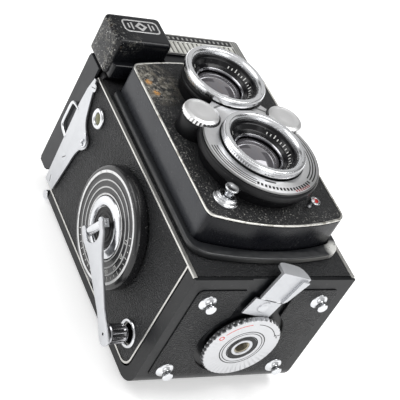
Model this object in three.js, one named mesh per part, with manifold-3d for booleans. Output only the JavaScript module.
// A twin lens reflex camera, standing on its four feet.
// Millimetres, +Z up, the lenses look along -Y and +X is on the right of someone facing the lenses.
// All pieces are drawn from one datum: the body's front plane is y = 0, its underside is z = 0 and the
// middle of its width is x = 0. The last lines move that datum so that the origin is on the surface under
// the feet, at the middle of the depth.
import * as THREE from "three";
import { mergeVertices } from "three/addons/utils/BufferGeometryUtils.js";
import Module from "manifold-3d";

const wasm = await Module();
wasm.setup();

// Body
const HALF_WIDTH = 38.5;
const CASING_HALF = 37;
const CASING_BACK = 61;
const CASING_TOP = 111.8;
const COVER_BOTTOM = 7;
const COVER_BACK = 62.8;
const COVER_TOP = 113;
const COVER_FACE = 38.1;
const RIM = 0.8;
const FOOT_HEIGHT = 4.4;
const Y_CENTRE = 19.8;

// Lens board and the two lenses
const BOARD_HALF = 33;
const BOARD_FACE = -15.6;
const BOARD_TAIL = 6;
const BOARD_WALL = 1.5;
const VIEW_Z = 87.3;
const TAKE_Z = 46.5;
const VIEW_TIP = -29.2;
const TAKE_TIP = -29.7;
const LENS_RING_R = 18.2;
const LENS_MOUTH_R = 15;
const GLASS_R = 10.6;
const SHUTTER_R = 26.4;
const SHUTTER_BASE_R = 23.7;
const SHUTTER_FACE_R = 25.5;
const WHEEL_X = 20.6;
const WHEEL_Z = 65;
const WHEEL_R = 7.8;
const RELEASE_X = -21.8;
const SMALL_Z = 26.5;
const SYNC_X = 21.5;

// Film path
const SUPPLY_Y = 18;
const SUPPLY_Z = 16.2;
const TAKEUP_Y = 47.5;
const TAKEUP_Z = 84;
const CHAMBER_R = 13;
const CHAMBER_HALF = 33.5;
const SPOOL_R = 12.4;
const SPOOL_HALF = 32.6;
const GATE_HALF = 28;

// Hood
const HOOD_BASE_TOP = 115.6;
const LID_BOTTOM = 125.2;
const LID_TOP = 126.5;
const LID_BACK = 61;
const PANEL_HINGE_X = 36;
const SIDE_PANEL_Z = 117.4;
const BACK_PANEL_Z = 119.4;
const MAGNIFIER_Y = 29;
const MAGNIFIER_Z = 122.6;

// Winding crank
const CRANK_Y = 30;
const CRANK_Z = 54.4;
const CRANK_DISC_R = 25.7;
const CRANK_TURN = THREE.MathUtils.degToRad(28.9);
const CRANK_THROW = 43.6;
const CRANK_PIN_X = -48.2;

// Back door and latch
const DOOR_OUT = 67;
const DOOR_WALL = 1.6;
const HINGE_Y = 67.4;
const HINGE_Z = 109.8;
const DIAL_Y = 36.8;
const DIAL_R = 17.2;
const FOOT_X = 27;
const FOOT_YS = [13, 54.2];
const LATCH_SWING = THREE.MathUtils.degToRad(14);
const LATCH_PIVOT = [-0.4, 15];

const camera = new THREE.Group();

// Colours and surfaces
const LOOKS = {
  enamel: [0x2a2b2e, 0.45, 0.1],
  satinGrey: [0x55575b, 0.5, 0.2],
  leather: [0x1c1c1e, 0.85, 0],
  aluminium: [0xc9cacb, 0.35, 0.9],
  chrome: [0xe4e5e8, 0.12, 1],
  matteChrome: [0xd9dadc, 0.4, 0.9],
  black: [0x0b0b0c, 0.6, 0],
  glass: [0x3b3340, 0.05, 0],
  mirror: [0xdfe3e6, 0.03, 1],
  screen: [0xd8d8d0, 0.4, 0],
  cell: [0xa9a9a4, 0.3, 0.4],
};

function look(name) {
  const [color, roughness, metalness] = LOOKS[name];
  return new THREE.MeshStandardMaterial({ color, roughness, metalness });
}

// A geometry with only its merged positions, which is what the boolean library reads.
function bare(geometry) {
  const copy = geometry.index ? geometry.toNonIndexed() : geometry.clone();
  for (const name of Object.keys(copy.attributes)) {
    if (name !== "position") copy.deleteAttribute(name);
  }
  return mergeVertices(copy, 1e-4);
}

function solid(geometry) {
  const merged = bare(geometry);
  const mesh = new wasm.Mesh({
    numProp: 3,
    vertProperties: new Float32Array(merged.attributes.position.array),
    triVerts: new Uint32Array(merged.index.array),
  });
  return new wasm.Manifold(mesh);
}

function geometryOf(manifold) {
  const mesh = manifold.getMesh();
  const geometry = new THREE.BufferGeometry();
  geometry.setAttribute("position", new THREE.BufferAttribute(mesh.vertProperties, 3));
  geometry.setIndex(new THREE.BufferAttribute(mesh.triVerts, 1));
  geometry.computeVertexNormals();
  return geometry;
}

function join(...pieces) {
  return geometryOf(pieces.map(solid).reduce((a, b) => a.add(b)));
}

function cut(piece, ...tools) {
  return geometryOf(tools.map(solid).reduce((a, b) => a.subtract(b), solid(piece)));
}

function add(parent, name, geometry, lookName, position = [0, 0, 0]) {
  const mesh = new THREE.Mesh(geometry, look(lookName));
  mesh.name = name;
  mesh.position.set(...position);
  parent.add(mesh);
  return mesh;
}

function box(x0, x1, y0, y1, z0, z1) {
  const geometry = new THREE.BoxGeometry(x1 - x0, y1 - y0, z1 - z0);
  return geometry.translate((x0 + x1) / 2, (y0 + y1) / 2, (z0 + z1) / 2);
}

// An outline in the x-z plane, made thick from y0 to y1.
function slabY(shape, y0, y1, segments = 5) {
  const geometry = new THREE.ExtrudeGeometry(shape, {
    depth: y1 - y0,
    bevelEnabled: false,
    curveSegments: segments,
  });
  return geometry.rotateX(Math.PI / 2).translate(0, y1, 0);
}

// An outline in the y-z plane, made thick from x0 to x1.
function slabX(shape, x0, x1, segments = 5) {
  const geometry = new THREE.ExtrudeGeometry(shape, {
    depth: x1 - x0,
    bevelEnabled: false,
    curveSegments: segments,
  });
  return geometry.rotateY(Math.PI / 2).rotateX(Math.PI / 2).translate(x0, 0, 0);
}

// An outline in the x-y plane, made thick from z0 to z1.
function slabZ(shape, z0, z1, segments = 5) {
  const geometry = new THREE.ExtrudeGeometry(shape, {
    depth: z1 - z0,
    bevelEnabled: false,
    curveSegments: segments,
  });
  return geometry.translate(0, 0, z0);
}

function polygon(points) {
  const shape = new THREE.Shape();
  shape.setFromPoints(points.map(([a, b]) => new THREE.Vector2(a, b)));
  return shape;
}

function roundRect(a0, a1, b0, b1, r) {
  const shape = new THREE.Shape();
  shape.moveTo(a0 + r, b0);
  shape.lineTo(a1 - r, b0);
  shape.absarc(a1 - r, b0 + r, r, -Math.PI / 2, 0);
  shape.lineTo(a1, b1 - r);
  shape.absarc(a1 - r, b1 - r, r, 0, Math.PI / 2);
  shape.lineTo(a0 + r, b1);
  shape.absarc(a0 + r, b1 - r, r, Math.PI / 2, Math.PI);
  shape.lineTo(a0, b0 + r);
  shape.absarc(a0 + r, b0 + r, r, Math.PI, 1.5 * Math.PI);
  return shape;
}

// A profile of [radius, height] pairs turned about +Z. It starts and ends on the axis, or closes on itself.
function turned(profile, segments = 20) {
  const points = profile.map(([r, h]) => new THREE.Vector2(r, h));
  return new THREE.LatheGeometry(points, segments).rotateX(Math.PI / 2);
}

// A solid of revolution whose profile heights run along -Y, so that a larger height is further forward.
function turnedFront(profile, x, z, segments = 26) {
  return turned(profile, segments).rotateX(Math.PI / 2).translate(x, 0, z);
}

// A solid of revolution about the X axis: heights run outwards, to -X for side -1 and to +X for side 1.
function turnedSide(profile, side, y, z, segments = 22) {
  return turned(profile, segments).rotateY((side * Math.PI) / 2).translate(0, y, z);
}

function rod(r, h0, h1) {
  return [[0, h0], [r, h0], [r, h1], [0, h1]];
}

function tube(r0, r1, h0, h1) {
  return [[r0, h0], [r1, h0], [r1, h1], [r0, h1], [r0, h0]];
}

// A toothed wheel outline: count shallow teeth between two radii.
function toothed(rIn, rOut, count, hole = 0) {
  const points = [];
  for (let i = 0; i < count; i += 1) {
    const step = (2 * Math.PI) / count;
    points.push([rOut * Math.cos(i * step), rOut * Math.sin(i * step)]);
    points.push([rOut * Math.cos((i + 0.5) * step), rOut * Math.sin((i + 0.5) * step)]);
    points.push([rIn * Math.cos((i + 0.75) * step), rIn * Math.sin((i + 0.75) * step)]);
  }
  const shape = polygon(points);
  if (hole > 0) shape.holes.push(new THREE.Path().absarc(0, 0, hole, 0, 2 * Math.PI, true));
  return shape;
}

// ---------------------------------------------------------------- body casting

// The lens board's outline, drawn in by `inset`: straight sides, and shallow arcs at the top and bottom.
function boardOutline(inset) {
  const w = BOARD_HALF - inset;
  const shape = new THREE.Shape();
  shape.moveTo(-w, 22.4);
  shape.quadraticCurveTo(-w, 17.6 + inset, -w + 4.4, 17 + inset);
  shape.quadraticCurveTo(0, 9 + inset, w - 4.4, 17 + inset);
  shape.quadraticCurveTo(w, 17.6 + inset, w, 22.4);
  shape.lineTo(w, 100.8);
  shape.quadraticCurveTo(w, 104.2 - inset, w - 4, 104.8 - inset);
  shape.quadraticCurveTo(0, 111.4 - inset, -w + 4, 104.8 - inset);
  shape.quadraticCurveTo(-w, 104.2 - inset, -w, 100.8);
  shape.lineTo(-w, 22.4);
  return shape;
}

function alongX(shape, half) {
  return slabX(shape, -half, half);
}

// The casting's side view, rounded where the film turns the bottom back corner.
function castingOutline() {
  const shape = new THREE.Shape();
  shape.moveTo(0.9, 2);
  shape.lineTo(CASING_BACK - 8, 2);
  shape.absarc(CASING_BACK - 8, 10, 8, -Math.PI / 2, 0);
  shape.lineTo(CASING_BACK, CASING_TOP);
  shape.lineTo(0.9, CASING_TOP);
  return shape;
}

// The well behind the lens board, the mirror box, the light path to the film and the two film chambers.
const boardWell = slabY(boardOutline(-1.1), -1, BOARD_TAIL + 1.4);
const mirrorBox = alongX(polygon([[9.5, 74], [9.5, 120], [50, 120], [50, 108.5], [12, 70.5]]), 31);
const GATE_BACK = CASING_BACK + 1;
const lightCone = [[9.5, 33], [9.5, 60], [34, 69], [GATE_BACK, 74.5], [GATE_BACK, 18.5], [36, 26]];
const lightPath = alongX(polygon(lightCone), GATE_HALF);
const supplyChamber = join(
  turnedSide(rod(CHAMBER_R, -CHAMBER_HALF, CHAMBER_HALF), 1, SUPPLY_Y, SUPPLY_Z, 22),
  box(-CHAMBER_HALF, CHAMBER_HALF, SUPPLY_Y - 12, SUPPLY_Y + CHAMBER_R, 0, SUPPLY_Z),
);
const takeupChamber = join(
  turnedSide(rod(CHAMBER_R, -CHAMBER_HALF, CHAMBER_HALF), 1, TAKEUP_Y, TAKEUP_Z, 22),
  box(-CHAMBER_HALF, CHAMBER_HALF, TAKEUP_Y, CASING_BACK + 1, TAKEUP_Z - 3, TAKEUP_Z + CHAMBER_R),
);
const rollerPocket = box(-CHAMBER_HALF, CHAMBER_HALF, 52, CASING_BACK + 1, 0, 12.5);
const lensHoles = [VIEW_Z, TAKE_Z].map((z) => turnedFront(rod(13.5, -12, 2), 0, z, 28));
const knobShaftHole = turnedSide(rod(3.4, 20, 40), 1, 27, 46, 16);
const upperShaftHole = turnedSide(rod(2.9, 30, 40), 1, TAKEUP_Y, TAKEUP_Z, 16);
const lowerShaftHole = turnedSide(rod(2.9, 30, 40), 1, SUPPLY_Y, SUPPLY_Z, 16);
const dockRecess = turnedSide(rod(4.5, 34, 42), -1, 51.4, 16.5, 18);
const casing = cut(
  alongX(castingOutline(), CASING_HALF),
  dockRecess,
  boardWell,
  mirrorBox,
  lightPath,
  supplyChamber,
  takeupChamber,
  rollerPocket,
  ...lensHoles,
  knobShaftHole,
  upperShaftHole,
  lowerShaftHole,
);
add(camera, "body_casing", casing, "enamel");

// The front plate: a leather covered sheet with the board's opening in it.
const frontPlate = cut(
  slabY(roundRect(-CASING_HALF, CASING_HALF, 1.9, CASING_TOP, 0.6), 0, 0.8, 2),
  slabY(boardOutline(-1.1), -1, 2),
);
add(camera, "front_plate", frontPlate, "leather");

// The collar that the lens board slides through: open at the top, with a curved lower edge.
function collarOutline() {
  const w = 36.2;
  const shape = new THREE.Shape();
  shape.moveTo(-w, 19);
  shape.quadraticCurveTo(-w + 0.4, 12, -w + 8, 10.4);
  shape.quadraticCurveTo(0, 5.2, w - 8, 10.4);
  shape.quadraticCurveTo(w - 0.4, 12, w, 19);
  shape.lineTo(w, 101);
  shape.quadraticCurveTo(w, 102.5, w - 1.5, 102.5);
  shape.lineTo(-w + 1.5, 102.5);
  shape.quadraticCurveTo(-w, 102.5, -w, 101);
  shape.lineTo(-w, 19);
  return shape;
}
const collar = cut(
  slabY(collarOutline(), -2.9, -0.1),
  slabY(boardOutline(-0.5), -4, 1),
  box(-BOARD_HALF - 0.5, BOARD_HALF + 0.5, -4, 1, 99, 104),
);
add(camera, "front_collar", collar, "enamel");

// Side covers: a thin plate with a bright raised rim round the leather.
function coverOutline(inset) {
  const y0 = inset;
  const y1 = COVER_BACK - inset;
  const z0 = COVER_BOTTOM + inset;
  const r = 6 - inset * 0.5;
  const shape = new THREE.Shape();
  shape.moveTo(y0, z0);
  shape.lineTo(y1 - r, z0);
  shape.absarc(y1 - r, z0 + r, r, -Math.PI / 2, 0);
  shape.lineTo(y1, COVER_TOP - inset);
  shape.lineTo(y0, COVER_TOP - inset);
  return shape;
}
function sideCover(side) {
  const x0 = side < 0 ? -HALF_WIDTH - 0.3 : CASING_HALF + 0.1;
  const x1 = side < 0 ? -CASING_HALF - 0.1 : HALF_WIDTH + 0.3;
  const tail = box(x0, x1, 0, 0.9, 1.3, 8);
  const plate = join(slabX(coverOutline(0), x0, x1, 6), tail);
  const [r0, r1] = side < 0 ? [-42, -COVER_FACE] : [COVER_FACE, 42];
  const recess = slabX(coverOutline(RIM), r0, r1, 6);
  const holes = side < 0 ? [dockRecess] : [knobShaftHole, upperShaftHole, lowerShaftHole];
  return cut(plate, recess, ...holes);
}
add(camera, "side_cover_left", sideCover(-1), "aluminium");
add(camera, "side_cover_right", sideCover(1), "aluminium");

// Mirror and focusing screen
const mirrorPane = box(-30, 30, -26, 26, -0.8, 0.8);
mirrorPane.rotateX(Math.PI / 4).translate(0, 30.2, 90.9);
add(camera, "reflex_mirror", mirrorPane, "mirror");
add(camera, "focusing_screen", box(-30.4, 30.4, 0.9, 57.6, 112.3, 114.1), "screen");

// Film roller at the bottom back corner, and the take-up spool.
const roller = turned(rod(2.9, -32.8, 32.8), 20).rotateY(Math.PI / 2);
add(camera, "film_roller", roller, "chrome", [0, 56.6, 8.6]);
const spoolEnd = (h0, h1) => tube(3.2, SPOOL_R, h0, h1);
const spool = join(
  turned(tube(3.2, 5.4, -SPOOL_HALF, SPOOL_HALF), 20),
  turned(spoolEnd(-SPOOL_HALF, -SPOOL_HALF + 1.2), 20),
  turned(spoolEnd(SPOOL_HALF - 1.2, SPOOL_HALF), 20),
).rotateY(Math.PI / 2);
add(camera, "takeup_spool", spool, "black", [0, TAKEUP_Y, TAKEUP_Z]);

// ---------------------------------------------------------------- front of the hood

const meterOutline = roundRect(-HALF_WIDTH, -11.9, 111.8, 130.35, 1.8);
const meterFront = slabY(meterOutline, -21.4, -3, 3);
const meterStep = slabY(roundRect(-36.8, -13, 109, 114, 0.8), -10, -3, 2);
const meterCut = slabY(roundRect(-HALF_WIDTH - 0.3, -11.6, 108.7, 130.65, 1), -22, -2.9, 2);
const meterWindow = box(-34, -16.5, -18.6, -7, 129, 131);
add(camera, "meter_box", cut(join(meterFront, meterStep), meterWindow), "enamel");
const needle = join(box(-0.35, 0.35, -8.6, 0.4, 129.6, 129.9), turned(rod(0.9, 129.3, 130), 12));
add(camera, "meter_needle", needle, "black", [-25.2, -8.6, 0]);

const foreheadBox = slabY(roundRect(-34, 34, 112, 131.6, 0.8), -12.4, -3, 2);
add(camera, "forehead", cut(foreheadBox, meterCut), "enamel");

// The nameplate frames the ribbed window of the light cell.
function nameplate() {
  const plate = box(-11.4, 33.6, -13.3, -12.5, 117, 131.2);
  return cut(plate, box(-9.6, 29.6, -14, -12, 118.6, 126.4));
}
add(camera, "nameplate", nameplate(), "matteChrome");
function ribbedCell() {
  const ribs = [];
  const pitch = 38.4 / 16;
  for (let i = 0; i < 16; i += 1) {
    const x = -9.2 + i * pitch;
    ribs.push([x, -12.6], [x + pitch * 0.25, -13.2], [x + pitch * 0.7, -13.2], [x + pitch * 0.95, -12.8]);
  }
  ribs.push([29.2, -12.5], [-9.2, -12.5]);
  return slabZ(polygon(ribs), 118.9, 126.1);
}
add(camera, "meter_cell", ribbedCell(), "cell");

// ---------------------------------------------------------------- lens board and lenses

// The bridge that ties the shutter to the viewing lens between the two wheels.
const bridgeOutline = polygon([[-20, 58], [-16.5, 74.5], [16.5, 74.5], [20, 58]]);

const lens = new THREE.Group();
camera.add(lens);
const boardHoles = [
  turnedFront(rod(11.4, 10, 20), 0, VIEW_Z, 22),
  turnedFront(rod(11.4, 10, 20), 0, TAKE_Z, 22),
  turnedFront(rod(2.2, 10, 20), RELEASE_X, SMALL_Z, 14),
];
const cup = cut(
  slabY(boardOutline(0), BOARD_FACE, BOARD_TAIL),
  slabY(boardOutline(BOARD_WALL), BOARD_FACE + 2, BOARD_TAIL + 2),
  ...boardHoles,
);
add(lens, "lens_board", cup, "enamel");
const boardTrim = cut(
  slabY(boardOutline(0), BOARD_FACE - 0.8, BOARD_FACE - 0.1),
  slabY(boardOutline(0.8), BOARD_FACE - 2, BOARD_FACE + 1),
);
add(lens, "board_trim", boardTrim, "aluminium");
const boardLeather = cut(
  slabY(boardOutline(1.0), BOARD_FACE - 0.6, BOARD_FACE - 0.1),
  turnedFront(rod(16.4, 10, 20), 0, VIEW_Z, 22),
  turnedFront(rod(SHUTTER_BASE_R + 0.4, 10, 20), 0, TAKE_Z, 22),
  slabY(bridgeOutline, -20, -10),
  turnedFront(rod(WHEEL_R, 10, 20), -WHEEL_X, WHEEL_Z, 24),
  turnedFront(rod(WHEEL_R, 10, 20), WHEEL_X, WHEEL_Z, 24),
  turnedFront(rod(5.7, 10, 20), RELEASE_X, SMALL_Z, 24),
  turnedFront(rod(2.6, 10, 20), SYNC_X, SMALL_Z, 20),
);
add(lens, "board_leather", boardLeather, "leather");

// The viewing lens: a black barrel with a stepped outside and a conical mouth, a chrome ring and the glass.
const viewBarrel = [
  [11, 15.7], [16.1, 15.7], [16.1, 20.4], [17.4, 21.4], [17.4, 24.7],
  [14.4, 24.7], [12.4, 21.8], [11, 21.2], [11, 15.7],
];
add(lens, "viewing_barrel", turnedFront(viewBarrel, 0, VIEW_Z), "black");
function chromeRing(tip) {
  return [
    [14.8, tip - 4.4], [17.7, tip - 4.4], [LENS_RING_R, tip - 3.6], [LENS_RING_R, tip - 0.6],
    [LENS_RING_R - 0.5, tip], [LENS_MOUTH_R + 0.9, tip], [LENS_MOUTH_R, tip - 0.7], [14.8, tip - 4.4],
  ];
}
add(lens, "viewing_ring", turnedFront(chromeRing(-VIEW_TIP), 0, VIEW_Z), "chrome");
function lensGlass(h0) {
  return [[0, h0], [GLASS_R, h0], [GLASS_R, h0 + 1.6], [8.6, h0 + 2.7], [4.6, h0 + 3.6], [0, h0 + 4]];
}
add(lens, "viewing_glass", turnedFront(lensGlass(20), 0, VIEW_Z, 24), "glass");

// The shutter: a black drum round the taking lens with the two wheel housings, under a silver face.
const drumProfile = [
  [11, 15.7], [SHUTTER_BASE_R, 15.7], [SHUTTER_BASE_R, 19.6], [SHUTTER_R, 21], [SHUTTER_R, 24.4],
  [SHUTTER_R - 0.7, 25], [18.7, 25], [18.4, 25.2],
  [14.4, 25.2], [12.4, 22.2], [11, 21.6], [11, 15.7],
];
const drum = turnedFront(drumProfile, 0, TAKE_Z, 22);
function wheelHousing(x) {
  return turnedFront(rod(7.3, 15.7, 24.1), x, WHEEL_Z, 24);
}
const takingWell = turnedFront(rod(15, 10, 40), 0, TAKE_Z, 22);
const viewingRoom = join(
  turnedFront(rod(17.8, 10, 24.4), 0, VIEW_Z, 26),
  turnedFront(rod(18.6, 24.3, 40), 0, VIEW_Z, 26),
);
const bridge = cut(slabY(bridgeOutline, -24.9, -15.7), takingWell);
const wheelRelief = [-WHEEL_X, WHEEL_X].map((x) => {
  return turnedFront(rod(WHEEL_R + 0.7, 24.2, 40), x, WHEEL_Z, 22);
});
const housing = cut(
  join(drum, bridge, wheelHousing(-WHEEL_X), wheelHousing(WHEEL_X)),
  viewingRoom,
  ...wheelRelief,
);
add(lens, "shutter_housing", housing, "black");
const faceCircle = new THREE.Shape().absarc(0, TAKE_Z, SHUTTER_FACE_R, 0, 2 * Math.PI);
const faceDisc = slabY(faceCircle, -25.9, -25.1, 18);
const faceBridge = slabY(polygon([[-19, 60], [-16, 74], [16, 74], [19, 60]]), -25.9, -25.1);
const shutterFace = cut(
  join(faceDisc, faceBridge),
  turnedFront(rod(19, 10, 40), 0, TAKE_Z, 26),
  turnedFront(rod(18.8, 10, 40), 0, VIEW_Z, 26),
  ...wheelRelief,
);
add(lens, "shutter_face", shutterFace, "matteChrome");
add(lens, "taking_ring", turnedFront(chromeRing(-TAKE_TIP), 0, TAKE_Z), "chrome");
add(lens, "taking_glass", turnedFront(lensGlass(20.4), 0, TAKE_Z, 24), "glass");

// Aperture and speed wheels: domed caps with a fine knurled edge.
function wheelCap() {
  const rim = slabZ(toothed(WHEEL_R - 0.35, WHEEL_R, 18), 24.5, 26.3);
  const top = WHEEL_R - 0.5;
  const domeProfile = [[0, 26], [top, 26], [top - 0.2, 26.8], [top - 1.3, 27.1], [0, 27.3]];
  return join(rim, turned(domeProfile, 18)).rotateX(Math.PI / 2);
}
add(lens, "aperture_wheel", wheelCap(), "matteChrome", [-WHEEL_X, 0, WHEEL_Z]);
add(lens, "speed_wheel", wheelCap(), "matteChrome", [WHEEL_X, 0, WHEEL_Z]);

// Shutter release: a tiered guard ring, and a flared button that slides in it.
const guard = [
  [2, 15.7], [5.4, 15.7], [5.4, 17.4], [4.6, 17.8], [4.3, 18.8], [3.6, 19.2], [2, 19.2], [2, 15.7],
];
add(lens, "release_guard", turnedFront(guard, RELEASE_X, SMALL_Z, 22), "matteChrome");
const button = [
  [0, 17.6], [1.7, 17.6], [1.7, 20.6], [2.1, 21.6],
  [2.9, 22.4], [2.9, 23], [2.3, 23.2], [0, 22.7],
];
add(lens, "release_button", turnedFront(button, RELEASE_X, SMALL_Z, 24), "chrome");

// Flash socket and the small lever on the shutter's rim.
add(lens, "sync_socket", turnedFront(rod(2.3, 15.7, 17.6), SYNC_X, SMALL_Z, 20), "chrome");
function rimLever() {
  const [r0, r1] = [SHUTTER_R + 0.3, SHUTTER_R + 3.5];
  const shape = polygon([[r0, -1], [r1, -1.2], [r1, 1.2], [r0, 1]]);
  return slabZ(shape, 17, 21).rotateX(Math.PI / 2);
}
const lever = add(lens, "sync_lever", rimLever(), "matteChrome", [0, 0, TAKE_Z]);
lever.rotation.y = THREE.MathUtils.degToRad(54);

// ---------------------------------------------------------------- crank side

const discProfile = [
  [13.3, 38.9], [CRANK_DISC_R, 38.9], [CRANK_DISC_R, 43.2],
  [CRANK_DISC_R - 1.4, 44.5], [13.3, 44.5], [13.3, 38.9],
];
add(camera, "crank_disc", turnedSide(discProfile, -1, CRANK_Y, CRANK_Z, 30), "black");
const dock = [[4.7, 38.9], [6, 38.9], [5.8, 39.6], [4.7, 39.6], [4.7, 38.9]];
add(camera, "crank_dock", turnedSide(dock, -1, 51.4, 16.5, 28), "aluminium");
const bezel = [[0, 38.9], [4.5, 38.9], [4.5, 39.6], [3.9, 40], [2.5, 40], [2.3, 39.3], [0, 39.3]];
add(camera, "counter_window", turnedSide(bezel, -1, 11, 99.1, 28), "chrome");

// Seen in the crank's own frame the arm hangs straight down from the hub.
const crank = new THREE.Group();
crank.position.set(0, CRANK_Y, CRANK_Z);
crank.rotation.x = CRANK_TURN;
camera.add(crank);
const hubProfile = [
  [0, 38.9], [13, 38.9], [13, 44.9], [10.6, 45.7], [9.9, 45.7], [9.9, 44.9], [0, 44.9],
];
const hub = turned(hubProfile, 28).rotateY(-Math.PI / 2);
const barrel = turned(tube(0.95, 1.9, -5.2, 5.2), 16).rotateX(Math.PI / 2).translate(CRANK_PIN_X, 0, 0);
const neck = cut(
  box(CRANK_PIN_X - 0.4, -44.5, -4.6, 4.6, -1.6, 1.6),
  turned(rod(1.4, -9, 9), 16).rotateX(Math.PI / 2).translate(CRANK_PIN_X, 0, 0),
);
add(crank, "crank_hub", join(hub, barrel, neck), "chrome");

// The arm: a flat bar that widens to a fork round the hinge barrel, with the pin through it.
function armOutline() {
  const shape = new THREE.Shape();
  shape.moveTo(5.6, 1.7);
  shape.lineTo(8.6, 1.7);
  shape.lineTo(8.4, -4);
  shape.quadraticCurveTo(5.4, -10, 4.9, -16);
  shape.lineTo(4, -CRANK_THROW);
  shape.absarc(0, -CRANK_THROW - 1, 4, 0, -Math.PI, true);
  shape.lineTo(-4.9, -16);
  shape.quadraticCurveTo(-5.4, -10, -8.4, -4);
  shape.lineTo(-8.6, 1.7);
  shape.lineTo(-5.6, 1.7);
  shape.lineTo(-5.6, -3);
  shape.quadraticCurveTo(-4.6, -6, 0, -6.4);
  shape.quadraticCurveTo(4.6, -6, 5.6, -3);
  return shape;
}
const armPlate = slabX(armOutline(), -50.4, -49.2, 6);
const prong = (y0, y1) => box(-50, CRANK_PIN_X + 1.7, y0, y1, -1.8, 1.6);
const pin = turned(rod(0.8, -8.3, 8.3), 12).rotateX(Math.PI / 2).translate(CRANK_PIN_X, 0, 0);
add(crank, "crank_arm", join(armPlate, prong(5.6, 8.2), prong(-8.2, -5.6), pin), "matteChrome");

function flutedHandle() {
  const grip = slabX(toothed(3.5, 4.2, 12), -48.9, -41.4);
  const collarEnd = turned(rod(3.2, 40.3, 41.6), 16).rotateY(-Math.PI / 2);
  return join(grip, collarEnd);
}
add(crank, "crank_handle", flutedHandle(), "chrome", [0, 0, -CRANK_THROW]);

// Strap plates: a bright sheet along the top edge, with a rounded ear, and a wire loop above it.
function strapOutline() {
  const shape = new THREE.Shape();
  shape.moveTo(0.7, 112.1);
  shape.quadraticCurveTo(12, 108.6, 17.2, 106.4);
  shape.quadraticCurveTo(21, 104, 22.4, 99.6);
  shape.quadraticCurveTo(23.4, 96.6, 26, 97);
  shape.quadraticCurveTo(28.6, 97.6, 30.5, 100.4);
  shape.quadraticCurveTo(34, 102.6, 40.7, 103);
  shape.lineTo(60.4, 105.6);
  shape.lineTo(61, 113.8);
  shape.lineTo(17.2, 115.6);
  return shape;
}
function strapPlate(side) {
  const [x0, x1] = side < 0 ? [-40, -38.9] : [38.9, 40];
  const plate = slabX(strapOutline(), x0, x1, 5);
  const wire = [[19.4, 114.5], [20.4, 119.4], [22.4, 121], [32.6, 121], [34.8, 119.4], [35.8, 114]];
  const path = new THREE.CurvePath();
  const at = side * 39.5;
  for (let i = 0; i + 1 < wire.length; i += 1) {
    const a = new THREE.Vector3(at, ...wire[i]);
    const b = new THREE.Vector3(at, ...wire[i + 1]);
    path.add(new THREE.LineCurve3(a, b));
  }
  const section = new THREE.Shape().absarc(0, 0, 0.8, 0, 2 * Math.PI);
  const loop = new THREE.ExtrudeGeometry(section, { extrudePath: path, steps: 12, curveSegments: 3 });
  return join(plate, loop);
}
add(camera, "strap_plate_left", strapPlate(-1), "matteChrome");
add(camera, "strap_plate_right", strapPlate(1), "matteChrome");

// ---------------------------------------------------------------- knobs on the other side

function focusKnob() {
  const grip = slabX(toothed(16.9, 17.5, 24), 39.2, 48.6);
  const face = turned([[0, 48.5], [16.6, 48.5], [16, 50.2], [12.4, 50.6], [12, 49.6], [0, 49.6]], 24);
  const shaft = turned(rod(3, 30, 39.4), 16);
  return join(grip, face.rotateY(Math.PI / 2), shaft.rotateY(Math.PI / 2));
}
add(camera, "focus_knob", focusKnob(), "matteChrome", [0, 27, 46]);
function spoolKnob() {
  const grip = slabX(toothed(6.3, 6.7, 12), 39.2, 43.8);
  const shaft = turned(rod(2.5, 30.5, 39.4), 14);
  return join(grip, shaft.rotateY(Math.PI / 2));
}
add(camera, "spool_knob_upper", spoolKnob(), "matteChrome", [0, TAKEUP_Y, TAKEUP_Z]);
add(camera, "spool_knob_lower", spoolKnob(), "matteChrome", [0, SUPPLY_Y, SUPPLY_Z]);

// ---------------------------------------------------------------- back door and latch

// The door is an L in the y-z plane: a back and a bottom plate with a rounded corner and side flanges.
function doorOutline(y0, z0, y1, z1, r) {
  const shape = new THREE.Shape();
  shape.moveTo(y0, z0);
  shape.lineTo(y1 - r, z0);
  shape.absarc(y1 - r, z0 + r, r, -Math.PI / 2, 0);
  shape.lineTo(y1, z1);
  shape.lineTo(y0, z1);
  return shape;
}
function doorShell() {
  const outer = slabX(doorOutline(0.2, 0, DOOR_OUT, 107.4, 9), -HALF_WIDTH, HALF_WIDTH, 8);
  const room = CASING_HALF + 0.35;
  const inner = slabX(doorOutline(-1, DOOR_WALL, DOOR_OUT - DOOR_WALL, 120, 8), -room, room, 8);
  const above = slabX(doorOutline(-1, 6.4, COVER_BACK + 0.5, 120, 5.8), -42, 42, 8);
  const dialHole = turned(rod(19.4, -1, 0.7), 26).translate(0, DIAL_Y, 0);
  const channel = box(-12, 12.6, -1, 26, -1, 0.7);
  const knuckle = turnedSide(rod(2.2, -30, 30), 1, HINGE_Y, HINGE_Z, 18);
  const leaf = box(-30, 30, 65.6, DOOR_OUT, 106, HINGE_Z);
  const hingeBore = turnedSide(rod(1.15, -40, 40), 1, HINGE_Y, HINGE_Z, 14);
  const corners = [-1, 1].map((side) => {
    return box(-2, 2, -1, 1.2, 1, 8).translate(side * (CASING_HALF + 1.9), 0, 0);
  });
  const shell = cut(outer, inner, above, dialHole, channel, ...corners);
  return cut(join(shell, knuckle, leaf), hingeBore);
}
add(camera, "back_door", doorShell(), "enamel");
add(camera, "hinge_pin", hingePin(), "chrome");
function hingePin() {
  const rodPart = turnedSide(rod(0.9, -35.5, 35.5), 1, HINGE_Y, HINGE_Z, 12);
  const knuckles = [-1, 1].map((side) => {
    return turnedSide(rod(2.2, 30.4, 38.9), side, HINGE_Y, HINGE_Z, 18);
  });
  const ears = [-1, 1].map((side) => {
    const [x0, x1] = side < 0 ? [-36.4, -30.4] : [30.4, 36.4];
    return box(x0, x1, CASING_BACK + 0.2, HINGE_Y, 108.6, 110.8);
  });
  return join(rodPart, ...knuckles, ...ears);
}
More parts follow.
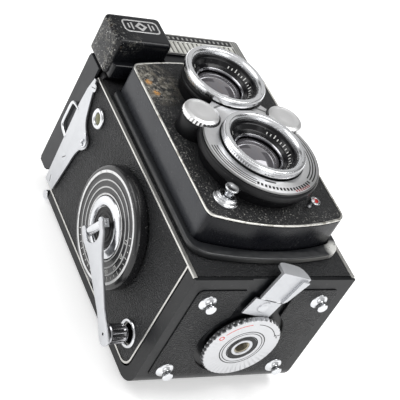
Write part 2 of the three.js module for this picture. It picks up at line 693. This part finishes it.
const backSkin = box(-36.4, 36.4, DOOR_OUT + 0.1, DOOR_OUT + 0.5, 12, 104);
add(camera, "back_leather", backSkin, "leather");
function bottomLeather() {
  const sheet = slabZ(roundRect(-33.8, 33.6, 6, 57.6, 2.4), -0.5, -0.1, 4);
  const spots = FOOT_YS.flatMap((y) => [[-FOOT_X, y], [FOOT_X, y]]);
  const feet = spots.map(([x, y]) => turned(rod(4.2, -2, 2), 14).translate(x, y, 0));
  const dialRoom = turned(rod(19.4, -2, 2), 26).translate(0, DIAL_Y, 0);
  return cut(sheet, ...feet, dialRoom, box(-12, 12.6, -1, 26, -2, 2));
}
add(camera, "bottom_leather", bottomLeather(), "leather");
const pressurePlate = join(box(-31, 31, 61.9, 62.9, 12.5, 80), box(-24, 24, 62.8, 63.7, 24, 70));
add(camera, "pressure_plate", pressurePlate, "black");

const footProfile = [
  [0, -4.4], [2.2, -4.4], [2.3, -3.6], [1.9, -3.2], [1.8, -1.9],
  [2.6, -1.2], [3.8, -0.7], [3.8, -0.1], [0, -0.1],
];
const FOOT_NAMES = [["foot_front_left", "foot_front_right"], ["foot_back_left", "foot_back_right"]];
FOOT_YS.forEach((y, row) => {
  [-FOOT_X, FOOT_X].forEach((x, column) => {
    add(camera, FOOT_NAMES[row][column], turned(footProfile, 16), "chrome", [x, y, 0]);
  });
});

// The latch: a scalloped dial round the tripod socket, an arm that it draws and a hook over the front edge.
function latchDial() {
  const disc = slabZ(toothed(DIAL_R - 0.7, DIAL_R, 20, 7), -4, -0.2, 7);
  const underCut = turned(tube(DIAL_R - 2.4, DIAL_R + 3, -1.9, 1), 28);
  return cut(disc, underCut);
}
add(camera, "latch_dial", latchDial(), "matteChrome", [0, DIAL_Y, 0]);
const socket = [[3.3, -4.2], [6.6, -4.2], [6.6, 0.5], [3.3, 0.5], [3.3, -4.2]];
add(camera, "tripod_socket", turned(socket, 28), "aluminium", [0, DIAL_Y, 0]);

const latch = new THREE.Group();
latch.position.set(LATCH_PIVOT[0], LATCH_PIVOT[1], 0);
latch.rotation.z = LATCH_SWING;
camera.add(latch);
const armBase = slabZ(polygon([[-7.4, -4.1], [7.4, -4.1], [7.4, 5], [-7.4, 5]]), -1.6, -0.5);
const rivet = turned([[0, -2.1], [1.9, -2.1], [2.4, -1.5], [0, -1.5]], 16).translate(0, -1.6, 0);
add(latch, "latch_arm", join(armBase, rivet), "chrome");
function latchHook() {
  const outline = polygon([[-5.6, -4.8], [5.6, -4.8], [6.2, -7.4], [9.4, -18.8], [-6.2, -18.8]]);
  const plate = slabZ(outline, -1.9, -0.7);
  const lipShape = new THREE.Shape();
  lipShape.moveTo(-6.2, -1.9);
  lipShape.lineTo(9.4, -1.9);
  lipShape.quadraticCurveTo(9.4, 4.4, 3.2, 4.4);
  lipShape.lineTo(-2.6, 4.4);
  lipShape.quadraticCurveTo(-6.2, 4.2, -6.2, 2);
  const lip = slabY(lipShape, -19.9, -18.7, 4);
  const wing = slabZ(polygon([[5.4, -5.4], [7, -7], [9.4, -18.6], [5.6, -18.6]]), -3, -1.8);
  return join(plate, lip, wing);
}
add(latch, "latch_hook", latchHook(), "chrome");

// ---------------------------------------------------------------- folding hood

const hoodBase = cut(
  slabZ(roundRect(-36.6, 36.6, -2, 60.6, 1.5), 112, HOOD_BASE_TOP, 3),
  box(-28.5, 28.5, 3, 55.6, 105, 120),
  box(-30.7, 30.7, 0.7, 57.9, 105, 114.4),
);
add(camera, "hood_base", hoodBase, "black");

function hoodLid() {
  const top = slabZ(roundRect(-HALF_WIDTH, HALF_WIDTH, -2.4, LID_BACK, 2), LID_BOTTOM, LID_TOP, 4);
  const skirtShape = polygon([[-2.4, 116], [57, 116], [60.6, 119.6], [60.6, 126], [-2.4, 126]]);
  const skirts = [slabX(skirtShape, -HALF_WIDTH, -37.4), slabX(skirtShape, 37.4, HALF_WIDTH)];
  return join(top, ...skirts, box(-HALF_WIDTH + 0.5, HALF_WIDTH - 0.5, 59.8, 60.6, 119, 126));
}
add(camera, "hood_lid", hoodLid(), "satinGrey");

// Each side panel lies inwards from its hinge line, cut at 45 degrees so that it clears its neighbours.
function sidePanel(side) {
  const reach = 26;
  const outline = polygon([[0, 2], [reach, 2 + reach], [reach, 58 - reach], [0, 58]]);
  const panel = slabZ(outline, SIDE_PANEL_Z - 0.4, SIDE_PANEL_Z + 0.4).translate(-PANEL_HINGE_X, 0, 0);
  if (side < 0) return panel;
  return panel.rotateZ(Math.PI).translate(0, 60, 0);
}
add(camera, "hood_side_left", sidePanel(-1), "enamel");
add(camera, "hood_side_right", sidePanel(1), "enamel");
const backOutline = polygon([[-34, 59], [-29, 29.5], [29, 29.5], [34, 59]]);
const backPanel = slabZ(backOutline, BACK_PANEL_Z - 0.4, BACK_PANEL_Z + 0.4);
add(camera, "hood_back", backPanel, "enamel");
function magnifier() {
  const frame = slabZ(roundRect(-14, 14, 2, 26, 4), -1.4, 1.4, 5);
  const window = turned(rod(10.6, -3, 3), 28).translate(0, 14, 0);
  const hinge = turned(rod(1.2, -12, 12), 12).rotateY(Math.PI / 2).translate(0, 1.4, 0);
  return cut(join(frame, hinge), window);
}
add(camera, "magnifier", magnifier(), "black", [0, MAGNIFIER_Y, MAGNIFIER_Z]);

camera.position.set(0, -Y_CENTRE, FOOT_HEIGHT);
const standing = new THREE.Group();
standing.add(camera);
export default standing;
